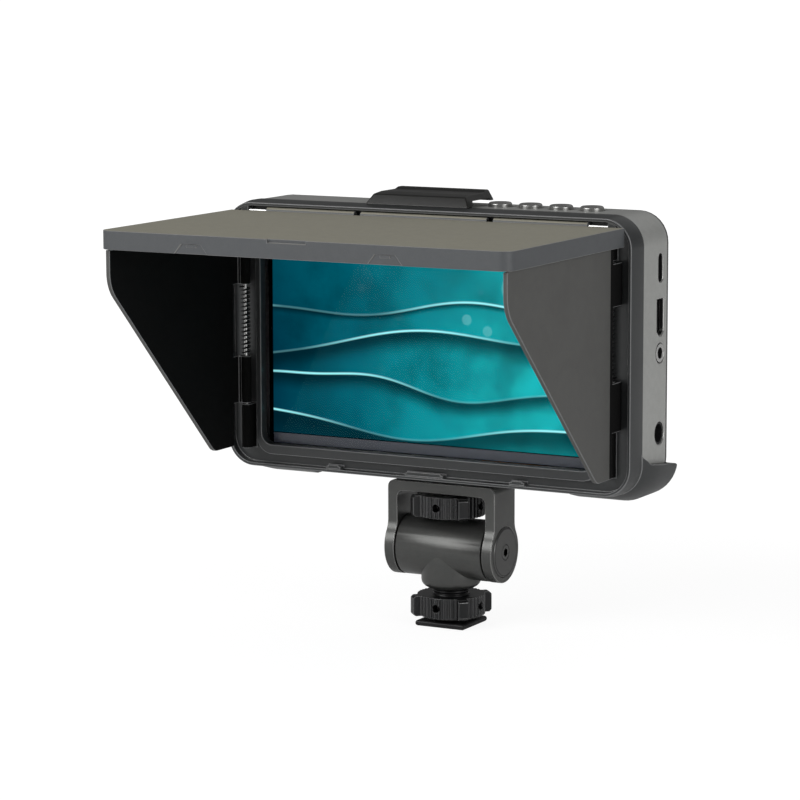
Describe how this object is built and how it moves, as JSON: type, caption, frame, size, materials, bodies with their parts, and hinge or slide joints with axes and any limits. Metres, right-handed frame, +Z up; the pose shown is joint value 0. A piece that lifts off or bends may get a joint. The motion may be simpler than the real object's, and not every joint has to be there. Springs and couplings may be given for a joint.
{
  "type": "camera field monitor with sun hood",
  "caption": "Small camera-top screen with a folding sun hood: hinged top panel, two sprung side flaps, buttons and ports, on a tilting shoe mount with lock wheels.",
  "frame": {"origin": "middle of the shoe foot's underside, on the swivel axis", "axes": "+X to the right of someone who faces the screen, +Y to the back, +Z up"},
  "size_m": [0.1602, 0.1185, 0.1499],
  "materials": {
    "foot_metal": "black anodised, satin",
    "mount_metal": "dark grey anodised, satin",
    "wheel_black": "moulded, fine grain",
    "black_rubber": "matt",
    "steel": "bright",
    "dark_steel": "blackened",
    "nylon": "natural",
    "brass": "turned",
    "housing_metal": "fine blasted, anodised grey",
    "hood_plastic": "moulded, satin",
    "panel_plastic": "moulded, satin",
    "flap_plastic": "moulded, fine matt grain",
    "black_plastic": "moulded",
    "white_plastic": "reflective sheet",
    "screen_glass": "clear, polished",
    "screen": null,
    "raw_aluminium": "sheet",
    "circuit_board": "solder mask",
    "ribbon": "polyimide",
    "button_metal": "turned, satin"
  },
  "bodies": {
    "base": {"shoe_foot": "foot_metal", "tilt_barrel": "mount_metal", "pivot_shaft": "steel", "pivot_screw": "steel", "left_friction_washer": "nylon", "right_friction_washer": "nylon"},
    "clamp_ring": {"clamp_washer": "black_rubber"},
    "lower_wheel": {"lower_lock_wheel": "wheel_black"},
    "yoke": {"yoke": "mount_metal", "left_pivot_cap": "mount_metal", "right_pivot_cap": "mount_metal", "yoke_pad": "black_rubber"},
    "upper_wheel": {"upper_lock_wheel": "wheel_black", "camera_screw": "steel"},
    "monitor": {"threaded_insert": "brass", "housing": "housing_metal", "rear_cover": "hood_plastic", "case_screws": "dark_steel", "cover_glass": "screen_glass", "lcd_panel": "screen", "backlight": "white_plastic", "mid_plate": "raw_aluminium", "main_board": "circuit_board", "heat_spreader": "raw_aluminium", "ribbon_cable": "ribbon", "button_board": "circuit_board", "tact_switches": "black_plastic", "usb_c_port": "steel", "hdmi_port": "steel", "headphone_jack": "steel", "dc_jack": "black_plastic", "battery_plate": "black_plastic", "battery_contacts": "brass", "hood_frame": "hood_plastic", "top_grip": "hood_plastic", "top_hinge_pins": "steel", "left_hinge_pin": "steel", "right_hinge_pin": "steel", "left_hinge_spring": "dark_steel", "right_hinge_spring": "dark_steel"},
    "button_1": {"button_1": "button_metal"},
    "button_2": {"button_2": "button_metal"},
    "button_3": {"button_3": "button_metal"},
    "button_4": {"button_4": "button_metal"},
    "latch": {"battery_latch": "black_plastic"},
    "top_panel": {"top_panel": "panel_plastic"},
    "left_flap": {"left_flap": "flap_plastic"},
    "right_flap": {"right_flap": "flap_plastic"}
  },
  "joints": [
    {"name": "clamp_ring_rise", "type": "slide", "parent": "base", "child": "clamp_ring", "axis": [0, 0, 1], "range_m": [0, 0.0015]},
    {"name": "lower_wheel_turn", "type": "hinge", "parent": "clamp_ring", "child": "lower_wheel", "pos_m": [0, 0, 0.0072], "axis": [0, 0, 1], "range_deg": [0, 360]},
    {"name": "yoke_tilt", "type": "hinge", "parent": "base", "child": "yoke", "pos_m": [0, 0, 0.0268], "axis": [1, 0, 0], "range_deg": [-90, 90]},
    {"name": "upper_wheel_turn", "type": "hinge", "parent": "yoke", "child": "upper_wheel", "pos_m": [0, 0, 0.041], "axis": [0, 0, 1], "continuous": true},
    {"name": "monitor_swivel", "type": "hinge", "parent": "yoke", "child": "monitor", "pos_m": [0, 0, 0.0525], "axis": [0, 0, 1], "continuous": true},
    {"name": "top_panel_lift", "type": "hinge", "parent": "monitor", "child": "top_panel", "pos_m": [0, -0.01955, 0.14165], "axis": [-1, 0, 0], "range_deg": [0, 12]},
    {"name": "left_flap_fold", "type": "hinge", "parent": "monitor", "child": "left_flap", "pos_m": [-0.0684, -0.0216, 0.0988], "axis": [0, 0, 1], "range_deg": [0, 90], "stiffness_Nm_per_rad": 0.004, "springref_deg": -45.84},
    {"name": "right_flap_fold", "type": "hinge", "parent": "monitor", "child": "right_flap", "pos_m": [0.0684, -0.0198, 0.0988], "axis": [0, 0, -1], "range_deg": [0, 90], "stiffness_Nm_per_rad": 0.004, "springref_deg": -45.84},
    {"name": "button_1_press", "type": "slide", "parent": "monitor", "child": "button_1", "axis": [0, 0, -1], "range_m": [0, 0.0005], "stiffness_N_per_m": 1500, "springref_m": -0.0005},
    {"name": "button_2_press", "type": "slide", "parent": "monitor", "child": "button_2", "axis": [0, 0, -1], "range_m": [0, 0.0005], "stiffness_N_per_m": 1500, "springref_m": -0.0005},
    {"name": "button_3_press", "type": "slide", "parent": "monitor", "child": "button_3", "axis": [0, 0, -1], "range_m": [0, 0.0005], "stiffness_N_per_m": 1500, "springref_m": -0.0005},
    {"name": "button_4_press", "type": "slide", "parent": "monitor", "child": "button_4", "axis": [0, 0, -1], "range_m": [0, 0.0005], "stiffness_N_per_m": 1500, "springref_m": -0.0005},
    {"name": "latch_release", "type": "slide", "parent": "monitor", "child": "latch", "axis": [0, 0, 1], "range_m": [0, 0.002], "stiffness_N_per_m": 300, "springref_m": -0.003}
  ],
  "couplings": [
    {"joint": "lower_wheel_turn", "follows": "clamp_ring_rise", "rad_per_m": 4188.8}
  ]
}
